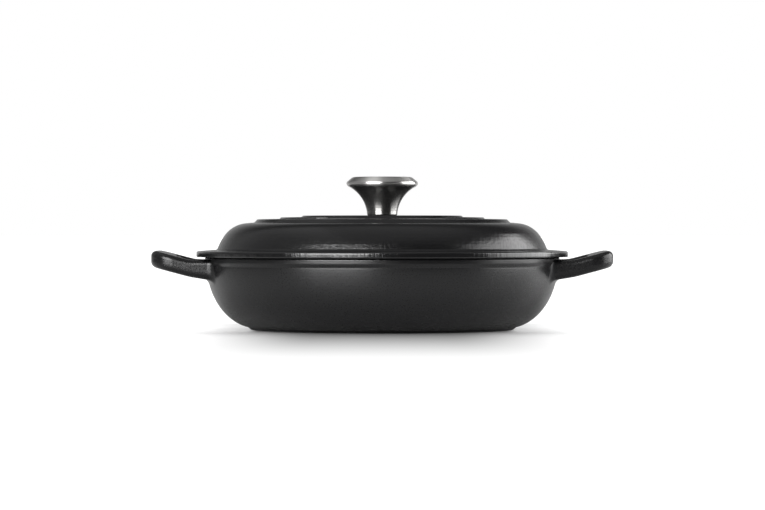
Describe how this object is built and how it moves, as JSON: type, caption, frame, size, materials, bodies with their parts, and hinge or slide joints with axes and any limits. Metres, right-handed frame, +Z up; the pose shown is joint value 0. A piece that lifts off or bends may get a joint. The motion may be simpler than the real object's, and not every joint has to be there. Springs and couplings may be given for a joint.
{
  "type": "braiser",
  "caption": "Shallow enamelled cast-iron braising pan with two loop handles, a stepped domed lid with an overhanging flange and a flared steel knob.",
  "frame": {"origin": "centre of the foot, on the surface that the pot stands on", "axes": "+Z up, X through the two loop handles, -Y towards the viewer and the plain field of the lid's middle ring"},
  "size_m": [0.3744, 0.303, 0.1244],
  "materials": {
    "pot_enamel": "satin black enamel on cast iron",
    "lid_enamel": "satin black enamel on cast iron",
    "neck_steel": "polished stainless steel",
    "cap_steel": "satin stainless steel, circular grain",
    "fastener_steel": "bright stainless steel"
  },
  "bodies": {
    "pot": {"pot": "pot_enamel"},
    "lid": {"lid": "lid_enamel", "knob_neck": "neck_steel", "knob_cap": "cap_steel", "knob_insert": "fastener_steel", "knob_screw": "fastener_steel", "screw_washer": "fastener_steel", "spring_washer": "fastener_steel"}
  },
  "joints": [
    {"name": "lid_lift", "type": "slide", "parent": "pot", "child": "lid", "axis": [0, 0, 1], "range_m": [0, 0.15]}
  ]
}
